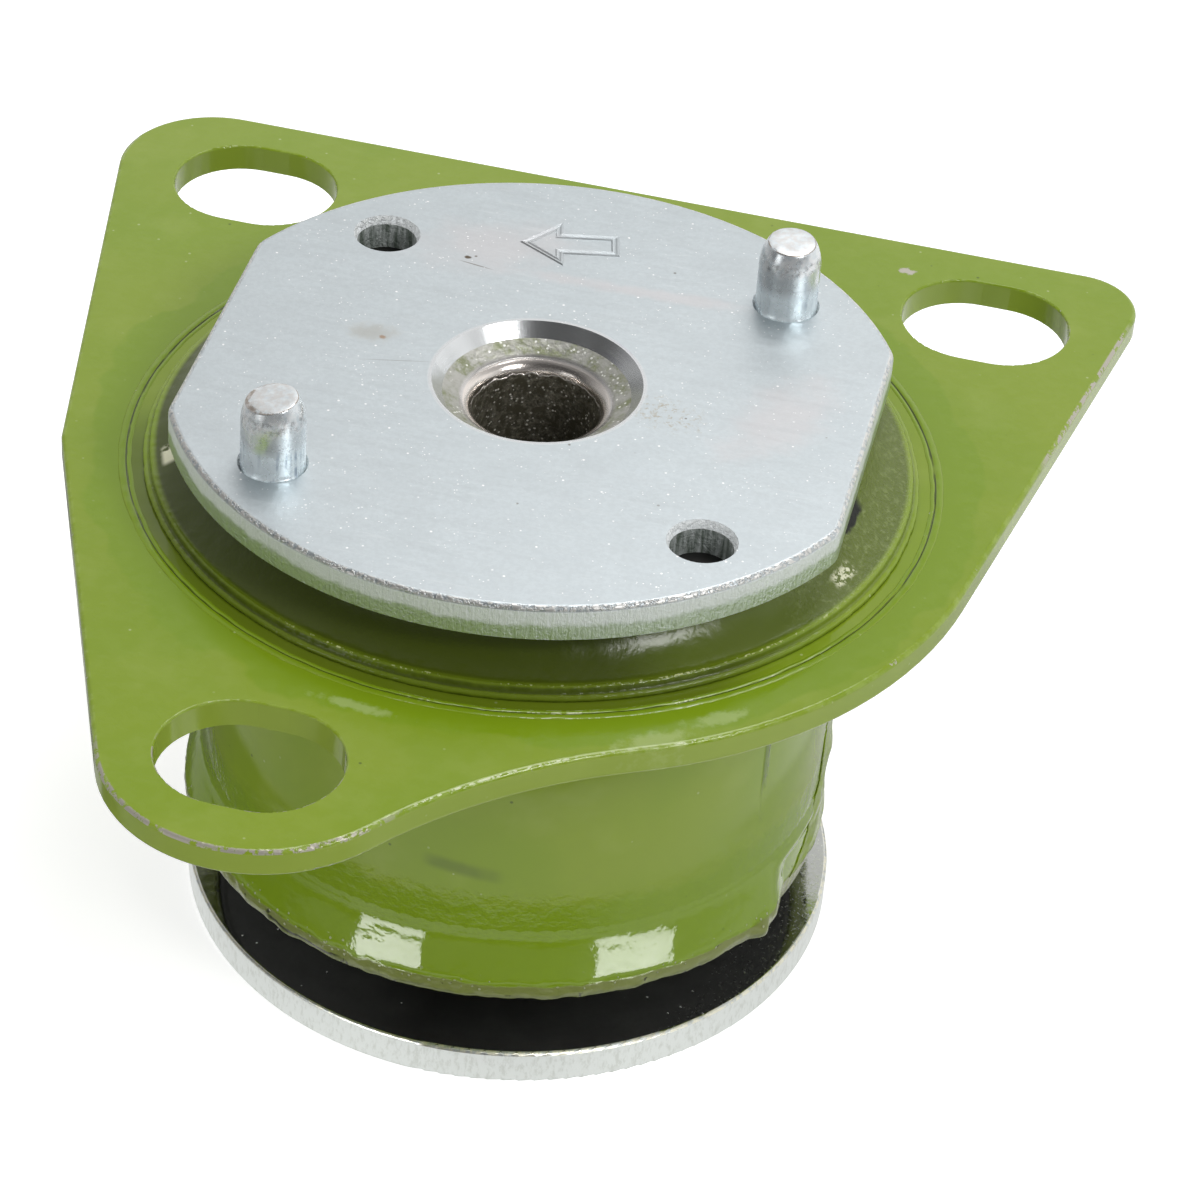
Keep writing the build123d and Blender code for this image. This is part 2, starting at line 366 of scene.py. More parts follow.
def painted_lip():
    """The flared lip: the cup's paint, olive brown along its foot, with bubbles and dark spots."""
    f = Finish("painted_lip", PAINT)
    cup_coat(f)
    height = f.total(f.z, f.wander(1.6, 4.0, 4.0, 0.6, shift=6.0))
    foot = f.ramp(height, 17.9, 17.4)
    f.cover(foot, (0.165, 0.180, 0.055), 0.8)
    f.cover(f.ramp(height, 16.2, 15.7), (0.085, 0.105, 0.022), 0.6)
    dark = f.both(f.ramp(height, 18.2, 17.4), f.grain(0.62, 0.68, 3.0, 4.0, 0.65, shift=8.0))
    crack = f.both(f.band(f.angle, -122.0, -106.0, 1.0), f.band(height, 15.9, 16.3, 0.12))
    f.cover(f.any(dark, crack), (0.014, 0.016, 0.008), 0.85)
    bubbles = f.both(f.spots(1.1, 0.15, 0.06), f.band(height, 16.6, 19.2, 0.3), f.grain(0.42, 0.55, 6.0))
    f.cover(bubbles, (0.48, 0.52, 0.32), 0.6)
    f.emboss(bubbles, 0.15)
    f.emboss(f.both(foot, f.noise(1.6, 3.0)), 0.15)
    return f.done(IOR=1.5, Roughness=f.blend(foot, f.ramp(f.noise(5.0), 0.3, 0.7, 0.04, 0.09), 0.22))


def torn_paint():
    """The edge of the paint skin that stands off the cup, pale where it is torn."""
    f = Finish("torn_paint", PAINT)
    paint_coat(f, peel=0.04, wave=0.15)
    f.cover(f.grain(0.40, 0.62, 2.0, 3.0), (0.24, 0.30, 0.10), 0.6)
    return f.done(IOR=1.5, Roughness=0.22)


def painted_rubber():
    """Paint on the rubber: thin and dark in front with painted shade there and on the left, painted
    highlight dots along the bead, grainy and chipped to black on the right.
    """
    f = Finish("painted_rubber", PAINT)
    paint_coat(f, peel=0.012, wave=0.10)
    shaded_side = f.any(f.ramp(f.angle, -50.0, -66.0), f.ramp(f.angle, 150.0, 170.0))
    front = f.band(f.angle, -150.0, -40.0, 16.0)
    on_flank = f.ramp(f.radius, 51.6, 50.8)
    on_bead = f.ramp(f.radius, 51.3, 51.8)
    f.emboss(f.both(on_bead, front, f.noise(0.8, 3.0, 0.6, shift=5.0)), 0.12)
    f.emboss(f.both(front, f.noise(1.7, 3.0, shift=8.0)), 0.11)
    # Thin paint over black rubber all round the flank, with painted shade: darker on the shaded front
    # and left, and on the bead in front.
    f.cover(f.blend(on_flank, f.blend(front, 0.0, 0.55), f.blend(shaded_side, 0.68, 0.95)), PAINT_THIN_AND_SHADED)
    # Painted shade: a dark line in the bead's groove, darker in front.
    f.cover(f.both(f.band(f.radius, 51.9, 52.3, 0.12), f.blend(front, 0.25, 0.6)), (0.016, 0.020, 0.004))
    # Painted highlights: pale dots along the bead's two edges, in front and on the right.
    highlight_lines = f.any(f.band(f.radius, 51.5, 51.75, 0.08), f.band(f.radius, 53.0, 53.3, 0.10))
    highlight_dots = f.both(highlight_lines, f.band(f.angle, -112.0, -24.0, 8.0), f.grain(0.52, 0.62, 0.55, shift=33.0),
                  f.grain(0.38, 0.52, 7.0, shift=12.0))
    f.cover(highlight_dots, (0.62, 0.66, 0.32), 0.75)
    on_right = f.both(f.band(f.angle, -30.0, 45.0, 8.0), f.ramp(f.radius, 52.6, 51.0))
    grains = f.noise(0.9, 3.0, 0.7)
    f.emboss(f.both(grains, on_right), 0.35)
    f.cover(f.both(on_right, f.ramp(grains, 0.50, 0.70, 0.0, 0.38)), (0.30, 0.36, 0.14))
    height = f.total(f.z, f.both(f.noise(3.0, 3.0), 2.4))
    patch = f.both(f.band(f.angle, -14.0, -5.0, 1.2), f.ramp(height, 78.9, 79.4))
    crack = f.both(f.band(f.angle, -25.0, -12.0, 1.0), f.band(height, 79.2, 79.9, 0.15))
    bare = f.any(patch, crack, f.ramp(f.radius, 45.2, 44.4))
    f.cover(bare, BLACK_RUBBER)
    chip = f.both(f.band(f.angle, -21.5, -16.5, 0.8), f.band(f.radius, 48.2, 49.8, 0.4),
                  f.grain(0.46, 0.54, 0.7, 4.0, 0.7, shift=19.0))
    cream = f.both(f.band(f.angle, -160.5, -156.0, 0.7), f.band(f.radius, 47.6, 50.3, 0.4),
                   f.grain(0.38, 0.48, 1.4, 3.0, shift=2.0))
    f.cover(f.any(cream, chip), (0.70, 0.70, 0.50))
    f.emboss(f.off(bare), 0.10)
    smooth = f.blend(on_right, f.blend(on_flank, 0.12, 0.24), 0.30)
    return f.done(IOR=1.5, Roughness=f.blend(bare, smooth, 0.65))


def bare_rubber():
    """Black moulded rubber, dull, with a dusty bloom."""
    f = Finish("bare_rubber", BLACK_RUBBER)
    f.cover(f.ramp(f.noise(7.0, 5.0, 0.6), 0.45, 0.75, 0.0, 0.5), (0.030, 0.030, 0.027))
    f.emboss(f.round_noise(1.2, 40.0), 0.05)
    f.emboss(f.noise(0.5, 3.0), 0.03)
    return f.done(Roughness=0.55, IOR=1.5)


def zinc(name, mottle=0.03, base=ZINC):
    """Zinc plate: its colour with clouds in it, before the marks."""
    f = Finish(name, base)
    f.cover(f.grain(0.3, 0.7, 6.0, 5.0, 0.65), tuple(c * (1 - 2.2 * mottle) for c in base), 0.7)
    f.cover(f.grain(0.38, 0.62, 0.8, 3.0, 0.7), tuple(c * 0.86 for c in base), 0.40)
    return f


def hole_distance(f, quarter):
    """Distance in millimetres from the axis of one of the four holes on the plate's circle."""
    turn = math.radians(first_hole_angle + 90.0 * quarter)
    return f.length(f.math("SUBTRACT", f.x, hole_circle_radius * math.cos(turn)),
                    f.math("SUBTRACT", f.y, hole_circle_radius * math.sin(turn)))


def zinc_plate():
    """The top plate: matt and mottled, with painted glints, highlights and reflections, scratches, rust
    and grease stains.
    """
    f = zinc("zinc_plate_finish")
    level = f.ramp(f.up, 0.90, 0.99)
    streaks = f.noise(1.4, 3.0, 0.6, stretch=(9.0, 1, 1), shift=4.0)
    f.cover(f.ramp(streaks, 0.50, 0.80, 0.0, 0.12), (0.54, 0.585, 0.62))
    pink = f.any(f.patch((9.0, 25.4), (16.0, 1.3), 0.5, 4.0, 0.6, turn=2.0),
                 f.patch((33.0, 2.0), (4.5, 9.0), 0.5, 5.0, 0.7, turn=-20.0),
                 f.patch((-14.0, 30.0), (9.0, 5.0), 0.5, 5.0, 0.8, turn=20.0))
    f.cover(pink, (0.67, 0.645, 0.65), 0.6)
    rust = f.patch((-24.3, 3.6), (3.0, 1.9), 0.5, 1.6, 0.6)
    f.cover(rust, (0.48, 0.46, 0.41), 0.5)
    f.cover(f.patch((-22.6, 3.0), (0.45, 0.35), 0.4, 0.8, 0.5), (0.38, 0.20, 0.08), 0.6)
    grease = f.both(f.patch((18.6, -2.2), (5.2, 3.0), 0.45, 3.5, 0.6, turn=-15.0),
                    f.grain(0.50, 0.68, 0.7, 4.0, 0.7))
    f.cover(grease, (0.44, 0.37, 0.26), 0.65)
    specks = f.both(f.spots(5.1, 0.030, 0.02, shift=3.0), f.grain(0.5, 0.6, 17.0))
    nick = f.patch((-16.9, 25.9), (0.5, 0.35), 0.3, 0.8, 0.3)
    brown_scratch = f.patch((-15.3, 24.4), (2.2, 0.10), 0.06, 1.0, 0.5, turn=-9.0)
    long_scratch = f.patch((-19.5, -1.8), (4.2, 0.07), 0.04, 1.0, 0.5, turn=15.0)
    f.cover(f.any(f.both(specks, 0.7), nick, f.both(brown_scratch, 0.7), f.both(long_scratch, 0.4)),
            (0.16, 0.13, 0.10))
    # Painted glints: white dots laid into the colour.
    glints = f.both(f.spots(2.1, 0.055, 0.05, shift=21.0), f.grain(0.42, 0.54, 7.0))
    tiny = f.both(f.spots(0.9, 0.080, 0.06, shift=7.0), f.grain(0.42, 0.58, 5.0, shift=2.0))
    glints = f.both(f.any(glints, tiny), level)
    f.cover(glints, WHITE)
    scratches = f.both(f.grain(0.63, 0.69, 0.6, stretch=(14.0, 1, 1), shift=11.0, warp=0.6), level,
                       f.grain(0.48, 0.6, 20.0))
    f.cover(scratches, (0.76, 0.79, 0.80), 0.2)
    outside = f.ramp(f.radius, 40.0, 44.0)
    # The top edge is painted pale: worn zinc, with a painted highlight.
    worn_highlit_rim = f.both(f.band(f.up, 0.35, 0.97, 0.03), outside, f.grain(0.40, 0.55, 0.7, 3.0, 0.7))
    f.cover(worn_highlit_rim, (0.88, 0.86, 0.82), 0.8)
    side = f.both(f.ramp(f.up, 0.4, 0.1), outside)
    combed = f.noise(0.5, 3.0, 0.65, stretch=(1, 1, 7.0), shift=2.0)
    f.cover(f.both(side, f.ramp(combed, 0.45, 0.7, 0.0, 0.4)), (0.66, 0.72, 0.66))
    height = f.total(f.z, f.both(f.noise(2.2, 3.0, shift=13.0), 1.6))
    # The upper half of the side is painted pale, frosted and with a painted highlight; the lower half is
    # tinted green, a painted reflection of the bracket.
    frosted_highlit_half = f.both(side, f.ramp(height, 83.2, 84.2))
    f.cover(frosted_highlit_half, (0.88, 0.91, 0.91), 0.7)
    f.cover(f.math("SUBTRACT", side, frosted_highlit_half), (0.78, 0.86, 0.78), 0.5)
    sink = f.both(f.ramp(f.radius, 15.0, 14.5), f.ramp(f.z, 80.0, 80.5))
    # Painted reflection: a dark blue streak in the countersink.
    dark_sink_reflection = f.ramp(f.round_noise(0.9, 60.0, shift=4.0), 0.48, 0.62, 0.0, 0.75)
    f.cover(f.both(sink, dark_sink_reflection, f.band(f.angle, 45.0, 80.0, 12.0)), (0.30, 0.31, 0.44))
    f.cover(sink, (0.97, 0.97, 0.97), 0.6)
    nearest = f.chain("MINIMUM", *(hole_distance(f, quarter) for quarter in range(4)))
    by_hole = f.ramp(nearest, 4.9, 4.6)
    chamfer = f.both(by_hole, f.ramp(f.up, 0.97, 0.9))
    crusty = f.both(chamfer, f.grain(0.40, 0.6, 0.7, 3.0, 0.7))
    f.cover(chamfer, (0.93, 0.96, 0.97), 0.9)
    f.cover(crusty, (0.55, 0.58, 0.57), 0.45)
    # Painted shade: the walls of the holes are darkened, in vertical stripes.
    stripes = f.ramp(f.noise(0.7, stretch=(1, 1, 9.0)), 0.35, 0.65, 0.5, 0.95)
    f.cover(f.both(by_hole, f.ramp(f.up, 0.25, 0.15), stripes), (0.10, 0.13, 0.10))
    rough = f.blend(f.any(rust, grease), f.ramp(streaks, 0.3, 0.7, 0.40, 0.50), 0.6)
    rough = f.blend(side, rough, f.blend(frosted_highlit_half, 0.28, 0.52))
    rough = f.blend(chamfer, f.blend(sink, rough, 0.26), 0.55)
    f.emboss(f.noise(20.0), 0.04)
    f.emboss(f.noise(0.5, 3.0, 0.6), 0.014)
    f.emboss(f.both(combed, side), 0.26)
    f.emboss(f.both(f.noise(0.45, 3.0, 0.7), side), 0.16)
    f.emboss(worn_highlit_rim, 0.10)
    f.emboss(f.both(crusty, chamfer), 0.12)
    metal = f.blend(chamfer, f.blend(side, 1.0, f.blend(frosted_highlit_half, 0.9, 0.5)), 0.15)
    return f.done(Metallic=metal, Roughness=rough)


def zinc_pin():
    """The pins: drawn streaks, a worn tip with a brown rim, a dark band at the foot of the nose, a
    painted bluish-white reflection low down and a painted highlight on the nose.
    """
    f = zinc("zinc_pin_finish", mottle=0.06, base=(0.82, 0.87, 0.89))
    streaks = f.noise(0.55, 3.0, 0.6, stretch=(1, 1, 12.0))
    f.cover(f.ramp(streaks, 0.40, 0.75, 0.0, 0.35), (0.50, 0.58, 0.66))
    foot = f.ramp(f.z, plate_top + 5.0, plate_top + 3.0)
    # Painted reflection: the lower part of the pin is painted bluish white.
    f.cover(foot, (0.86, 0.96, 1.0), 0.9)
    drawn = f.both(foot, f.grain(0.48, 0.72, 0.6, 3.0, 0.6, stretch=(1, 1, 25.0), shift=5.0),
                   f.ramp(f.noise(1.6), 0.4, 0.6, 0.2, 0.75))
    f.cover(drawn, (0.20, 0.27, 0.36))
    height = f.total(f.z, f.noise(1.2, 3.0))
    nose_band = f.both(f.band(height, pin_top - 3.0, pin_top - 1.4, 0.4),
                       f.grain(0.46, 0.60, 0.7, 4.0, 0.7))
    f.cover(nose_band, (0.20, 0.19, 0.18), 0.6)
    high_up = f.ramp(f.z, pin_top - 2.6, pin_top - 2.0)
    tip_rim = f.both(f.band(f.up, 0.70, 0.955, 0.02), high_up, f.grain(0.34, 0.5, 1.0, 3.0))
    f.cover(tip_rim, (0.34, 0.27, 0.21), 0.85)
    # Painted highlight: a pale band on the nose.
    nose_highlight = f.both(f.band(f.z, pin_top - 4.0, pin_top - 0.8, 0.8),
                         f.grain(0.40, 0.60, 0.9, 3.0, 0.6, shift=4.0))
    f.cover(nose_highlight, (0.96, 0.96, 0.96), 0.6)
    tip = f.both(f.ramp(f.up, 0.955, 0.965), high_up)
    f.cover(f.both(tip, f.ramp(f.noise(0.9, 4.0), 0.35, 0.65, 0.1, 0.8)), (0.66, 0.64, 0.62))
    f.emboss(streaks, 0.012)
    f.emboss(f.noise(0.6, 3.0), 0.015)
    rough = f.blend(tip, f.ramp(f.noise(1.5, 3.0), 0.3, 0.7, 0.20, 0.34), 0.42)
    return f.done(Metallic=f.blend(foot, 0.75, 0.5), Roughness=rough)


def zinc_tube():
    """The inner tube: a dished end with paint left on it, a polished mouth and a dark scaly bore."""
    f = zinc("zinc_tube_finish", mottle=0.08, base=(0.72, 0.70, 0.68))
    below_mouth = f.math("SUBTRACT", tube_end - 2.4, f.both(f.noise(1.6, 3.0), 1.6))
    inside = f.both(f.ramp(f.radius, bore_radius + 0.35, bore_radius + 0.15),
                    f.ramp(f.math("SUBTRACT", f.z, below_mouth), 0.2, -0.2))
    f.cover(inside, (0.34, 0.32, 0.25))
    scale = f.both(inside, f.grain(0.34, 0.56, 1.2, 5.0, 0.7))
    f.cover(scale, (0.085, 0.078, 0.052))
    f.cover(f.both(inside, f.spots(0.7, 0.20, 0.08), f.grain(0.42, 0.56, 2.0)), (0.85, 0.82, 0.75))
    f.cover(f.both(f.ramp(f.radius, 10.2, 9.9), f.off(inside)), (0.95, 0.88, 0.82), 0.8)
    ledge = f.both(f.ramp(f.up, 0.55, 0.75), f.ramp(f.radius, 10.2, 10.8))
    f.cover(ledge, (0.42, 0.42, 0.38), 0.8)
    left = f.both(ledge, f.grain(0.42, 0.66, 3.0, 5.0, 0.7))
    f.cover(left, (0.16, 0.19, 0.055), 0.80)
    f.cover(f.both(ledge, f.grain(0.50, 0.62, 1.2, 4.0, 0.7, shift=5.0)), (0.40, 0.39, 0.35), 0.5)
    flecks = f.both(ledge, f.spots(0.8, 0.20, 0.08, shift=2.0), f.grain(0.42, 0.55, 2.5))
    f.cover(flecks, (0.95, 0.95, 0.90), 0.8)
    f.emboss(f.round_noise(0.45, 45.0), 0.03)
    f.emboss(scale, 0.20)
    f.emboss(f.both(ledge, f.noise(1.0, 4.0)), 0.15)
    dull = f.any(f.both(ledge, 0.6), left, scale)
    rough = f.blend(ledge, f.blend(inside, 0.24, 0.34), 0.42)
    return f.done(Metallic=f.blend(dull, 1.0, 0.3), Roughness=rough)


def zinc_disc():
    """The lower disc: a near mirror on top, speckled grey towards its edge, and a satin side."""
    f = zinc("zinc_disc_finish", base=(0.90, 0.92, 0.88))
    level = f.ramp(f.math("ABSOLUTE", f.up), 0.90, 0.99)
    f.colour = f.mix(level, (0.71, 0.74, 0.71), f.colour)
    worn_side = f.both(f.grain(0.46, 0.66, 0.7, 4.0, 0.7, stretch=(1, 1, 2.5), shift=3.0), f.off(level))
    f.cover(worn_side, (0.48, 0.50, 0.45), 0.45)
    rim = f.both(f.band(f.up, 0.3, 0.97, 0.04), f.grain(0.42, 0.55, 0.8, 3.0, 0.7))
    f.cover(rim, (0.95, 0.92, 0.74), 0.8)
    specks = f.both(level, f.spots(1.7, 0.06, 0.05, shift=4.0), f.grain(0.42, 0.6, 9.0))
    reach = f.total(f.radius, f.wander(8.0, 3.5, 4.0, 0.65), f.ramp(f.angle, -60.0, -25.0, 0.0, 8.0))
    dusty = f.both(level, f.ramp(reach, disc_radius - 2.0, disc_radius + 2.0),
                   f.grain(0.42, 0.70, 0.5, 4.0, 0.7))
    f.emboss(f.noise(0.8, 3.0), 0.004)
    f.emboss(specks, 0.03)
    f.emboss(f.both(f.noise(1.0, 3.0, 0.6, stretch=(1, 1, 4.0)), f.off(level)), 0.03)
    rough = f.blend(level, 0.38, f.blend(f.any(specks, dusty), 0.06, 0.30))
    return f.done(Metallic=1.0, Roughness=rough)


materials = {
    "top_plate": zinc_plate(),
    "back_pin": zinc_pin(),
    "inner_tube": zinc_tube(),
    "lower_disc": zinc_disc(),
    "flange_bracket": green_bracket(),
    "outer_cup": green_cup(),
}
pin_zinc = materials["front_pin"] = materials["back_pin"]
for node, material in materials.items():
    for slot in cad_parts[node].material_slots:
        slot.material = material
rubber_paint = painted_rubber()
lip_paint = painted_lip()
skin_paint = torn_paint()
seam_paint = materials["flange_bracket"]
rubber_black = bare_rubber()


# Meshes

round_steps = 900


def make_object(name, points, faces, finish, smooth=True):
    """A mesh object from points in millimetres."""
    mesh = bpy.data.meshes.new(name)
    mesh.from_pydata([Vector(p) * MM for p in points], [], faces)
    mesh.validate()
    mesh.materials.append(finish)
    mesh.polygons.foreach_set("use_smooth", [smooth] * len(mesh.polygons))
    made = bpy.data.objects.new(name, mesh)
    bpy.context.scene.collection.objects.link(made)
    return made


def lumps(point, size, seed=0.0):
    """Smooth noise between about -1 and 1, with lumps of this size in millimetres."""
    return noise.noise(Vector(point) / size + Vector((seed, seed * 0.37, -seed)))


def turned(name, profile, shape, finish, steps=round_steps):
    """A closed section turned round the bore. shape(angle, radius, z) moves each point."""
    points, faces = [], []
    count = len(profile)
    for step in range(steps):
        angle = 2 * math.pi * step / steps
        for index, (radius, z) in enumerate(profile):
            r, height = shape(angle, radius, z)
            points.append(on_circle(angle, r, height))
            after = (index + 1) % count
            ahead = (step + 1) % steps
            faces.append((step * count + index, ahead * count + index,
                          ahead * count + after, step * count + after))
    return make_object(name, points, faces, finish)


def on_circle(angle, radius, z):
    return (radius * math.cos(angle), radius * math.sin(angle), z)


def arc_points(centre, radius, first, last, count):
    """Points along an arc in the section, by degrees from the outward direction."""
    turns = [math.radians(first + (last - first) * index / count) for index in range(count + 1)]
    return [(centre[0] + radius * math.cos(t), centre[1] + radius * math.sin(t)) for t in turns]


def share_of(value, whole):
    """The value's share of the whole, held between 0 and 1."""
    return min(1.0, max(0.0, value / whole))


def ease(value, start, end):
    """Goes smoothly from 0 at start to 1 at end."""
    share = share_of(value - start, end - start)
    return share * share * (3 - 2 * share)


# Upper rubber: hollow flank, stepped bead and the edge that seals on the cup's flange
flank_top_radius = 45.0
flank_hollow = (-0.72, -0.69)
flank_rows = 20
bead_top = bracket_top + 1.8
bead_inner = bead_radius - 1.8
bare_patch_angle = -9.5
bare_patch_depth = 0.35


def flank_points():
    """The flank from under the plate down to the bead, hollow by up to a millimetre."""
    found = []
    for index in range(flank_rows + 1):
        share = index / flank_rows
        dip = 4 * share * (1 - share)
        radius = flank_top_radius + (bead_inner - flank_top_radius) * share
        z = plate_underside + (bead_top - plate_underside) * share
        found.append((radius + flank_hollow[0] * dip, z + flank_hollow[1] * dip))
    return found


def upper_section():
    section = [(tube_radius, bracket_top), (tube_radius, plate_underside)]
    section += [(tube_radius + 4.0 * k, plate_underside) for k in range(1, 8)]
    section += flank_points()
    section += arc_points((bead_radius - 1.3, bead_top - 0.45), 0.45, 85, 10, 5)
    section += [(bead_radius - 0.80, bead_top - 0.75), (bead_radius - 0.72, bead_top - 0.98)]
    section += arc_points((bead_radius - 0.40, bracket_top + 0.40), 0.40, 95, 0, 6)
    section += [(bead_radius, bracket_top + 0.08), (bead_radius - 0.5, bracket_top + 0.02)]
    return section


def upper_shape(angle, radius, z):
    """Uneven paint over the moulded flank and bead, and a hollow where the paint has come off."""
    here = on_circle(angle, radius, z)
    free = share_of(radius - 44.5, 3.0) * share_of(plate_underside - z, 1.0)
    coat = 0.09 * lumps(here, 9.0, 3.0) + 0.04 * lumps(here, 2.5, 7.0)
    beads = 0.07 * lumps(here, 0.9, 13.0) * ease(radius, bead_inner - 0.6, bead_inner)
    off_axis = abs((math.degrees(angle) - bare_patch_angle + 180) % 360 - 180)
    bare = (1 - ease(off_axis, 3.0, 5.5)) * ease(z, 78.6, 79.4)
    low_bead = 0.10 * lumps(here, 5.0, 11.0) if z < bead_top - 0.5 else 0.0
    lift = coat + beads - bare_patch_depth * bare
    return radius + free * (lift + min(0.0, low_bead)), z + free * lift * 0.6


upper_rubber = turned("upper_rubber", upper_section(), upper_shape, rubber_paint)
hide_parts("rubber_body")
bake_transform(upper_rubber)

# Lower rubber: the bare hollow face that shows between the cup and the lower disc
face_outer = 41.9
face_rise = 8.0
face_hollow = (0.675, 2.4)
face_rows = 24
face_steps = 256


def lower_section():
    """From the lip's inner edge up to the tube, hollow, then back along the inside of the cup."""
    section = []
    for index in range(face_rows + 1):
        share = index / face_rows
        dip = 4 * share * (1 - share)
        section.append((face_outer + (tube_radius - face_outer) * share + face_hollow[0] * dip,
                        lip_bottom + face_rise * share + face_hollow[1] * dip))
    section += [(tube_radius, lip_bottom + face_rise + 6.0), (face_outer, lip_bottom + 6.0)]
    return section


def lower_shape(angle, radius, z):
    here = on_circle(angle, radius, z)
    free = share_of(radius - tube_radius, 3.0) * share_of(face_outer - radius, 3.0)
    return radius, z + free * 0.12 * lumps(here, 4.0, 5.0)


lower_rubber = turned("lower_rubber", lower_section(), lower_shape, rubber_black, face_steps)
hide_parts("rubber_body")
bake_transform(lower_rubber)

# Rubber lip: it flares below the cup, under the same paint, and its foot is rough
flare_start = 25.4
flare_bend = 0.12
flare_foot = 17.8
flare_radius = 46.4
flare_rows = 20
lip_askew, lip_drawn_in = 0.8, 2.2
drip_angle, drip_width = -27.0, 1.8
narrow_start, narrow_end = -24.0, 34.0


def lip_section():
    """The foot from inside out, then the flare up to its thin edge on the cup."""
    section = [(face_outer, lip_bottom + 0.9)]
    section += arc_points((face_outer + 0.9, lip_bottom + 0.9), 0.9, 190, 270, 5)
    section += [(43.6, lip_bottom), (44.6, lip_bottom)]
    section += arc_points((lip_radius - 1.0, lip_bottom + 1.0), 1.0, -90, -10, 7)
    section += [(lip_radius, lip_bottom + 1.3), (lip_radius + 0.05, lip_bottom + 1.8),
                (lip_radius - 0.05, lip_bottom + 2.3)]
    full = math.hypot(1.0, flare_bend) - flare_bend
    for index in range(flare_rows + 1):
        share = index / flare_rows
        out = (math.hypot(1.0 - share, flare_bend) - flare_bend) / full
        section.append((cup_radius + 0.10 + (flare_radius - cup_radius - 0.10) * out,
                        flare_foot + (flare_start - flare_foot) * share))
    section += [(cup_radius, flare_start + 0.4), (cup_radius - 0.04, flare_start + 1.2),
                (cup_radius - 0.05, lip_top)]
    section += [(cup_radius - 0.4, lip_top), (cup_radius - 0.4, cup_rim - 0.1),
                (face_outer, cup_rim - 0.1)]
    return section


def lip_swell(angle):
    """How far the lip stands out at an angle, and its drip: askew on the left, drawn in on the right."""
    turn = (math.degrees(angle) + 180) % 360 - 180
    askew = lip_askew * max(0.0, -math.cos(angle)) ** 2
    drawn_in = ease(turn, narrow_start, narrow_start + 10.0)
    drawn_in *= 1 - ease(turn, narrow_end - 24.0, narrow_end)
    drip = math.exp(-((turn - drip_angle) / drip_width) ** 2)
    return askew - lip_drawn_in * drawn_in, drip


def lip_shape(angle, radius, z):
    """Thick wavy paint over the flare, ragged at the foot, with one drip on the right."""
    here = on_circle(angle, radius, z)
    outer = ease(radius, cup_radius + 0.1, cup_radius + 0.9)
    swell, drip = lip_swell(angle)
    foot = 1 - ease(z, flare_foot - 0.6, flare_foot + 0.6)
    flare = ease(z, flare_start, flare_foot)
    ragged = 0.22 * lumps(here, 4.0, 4.0) + 0.14 * lumps(here, 1.5, 6.0)
    coat = 0.05 * lumps(here, 5.0, 2.0)
    radius_out = radius + outer * (swell * flare + drip * foot + coat + ragged * foot - 0.15 * foot)
    edge_fall = outer * foot * (0.35 * lumps((here[0], here[1], 0.0), 3.0, 9.0) - 0.3 * drip)
    return max(radius_out, min(radius, cup_radius + 0.05)), max(lip_bottom, z + edge_fall)


rubber_lip = turned("rubber_lip", lip_section(), lip_shape, lip_paint)
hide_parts("rubber_body")
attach(rubber_lip, "housing")


# Paint skin: a loose edge of paint that stands off the cup on the right
skin_columns, skin_rows = 90, 44
skin_bottom, skin_top = 17.2, 35.5
skin_foot_angle, skin_slant, skin_end_angle = -13.0, 15.0, 48.0
skin_thickness = 0.18
skin_curl = 0.12
skin_noise_radius = 40.0


def skin_start_angle(z):
    """The torn edge runs up and to the right, in steps."""
    rise = (z - skin_bottom) / (skin_top - skin_bottom)
    coarse = noise.noise(Vector((z / 2.6, 3.1, 0.7)))
    fine = noise.noise(Vector((z / 0.9, 1.3, 5.7)))
    return skin_foot_angle + skin_slant * min(1.0, rise * 1.5) ** 0.8 + (2.2 * coarse + 1.1 * fine)


def skin_points(depth):
    points = []
    for row in range(skin_rows + 1):
        share = row / skin_rows
        z = skin_bottom + (skin_top - skin_bottom) * share
        first = skin_start_angle(z)
        for column in range(skin_columns + 1):
            along = column / skin_columns
            turn = math.radians(first + (skin_end_angle - first) * along)
            here = on_circle(turn, skin_noise_radius, z)
            closed = (1 - ease(share, 0.70, 1.0)) * (1 - ease(along, 0.75, 1.0))
            lift = 0.40 + 0.50 * lumps(here, 5.5, 1.0) + 0.15 * lumps(here, 1.6, 8.0)
            lift *= ease(along, 0.0, 0.10)
            radius = cup_radius + 0.08 + closed * max(0.12, lift + skin_curl) - depth
            points.append(on_circle(turn, radius, z))
    return points


def sheet_faces(columns, rows, first, flipped):
    """Quads over a grid of points that begins at first."""
    faces = []
    for row in range(rows):
        for column in range(columns):
            corner = first + row * (columns + 1) + column
            quad = (corner, corner + 1, corner + columns + 2, corner + columns + 1)
            faces.append(quad[::-1] if flipped else quad)
    return faces


def closed_sheet(outer, inner, columns, rows):
    """The points and faces of a thin closed shell between two grids of points."""
    shift = len(outer)
    faces = sheet_faces(columns, rows, 0, False) + sheet_faces(columns, rows, shift, True)
    wide = columns + 1
    border = list(range(columns)) + [columns + wide * row for row in range(rows)]
    border += [rows * wide + column for column in range(columns, 0, -1)]
    border += [wide * row for row in range(rows, 0, -1)]
    for index, corner in enumerate(border):
        after = border[(index + 1) % len(border)]
        faces.append((after, corner, corner + shift, after + shift))
    return outer + inner, faces


skin_mesh = closed_sheet(skin_points(0.0), skin_points(skin_thickness), skin_columns, skin_rows)
paint_skin = make_object("paint_skin", *skin_mesh, skin_paint)
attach(paint_skin, "housing")


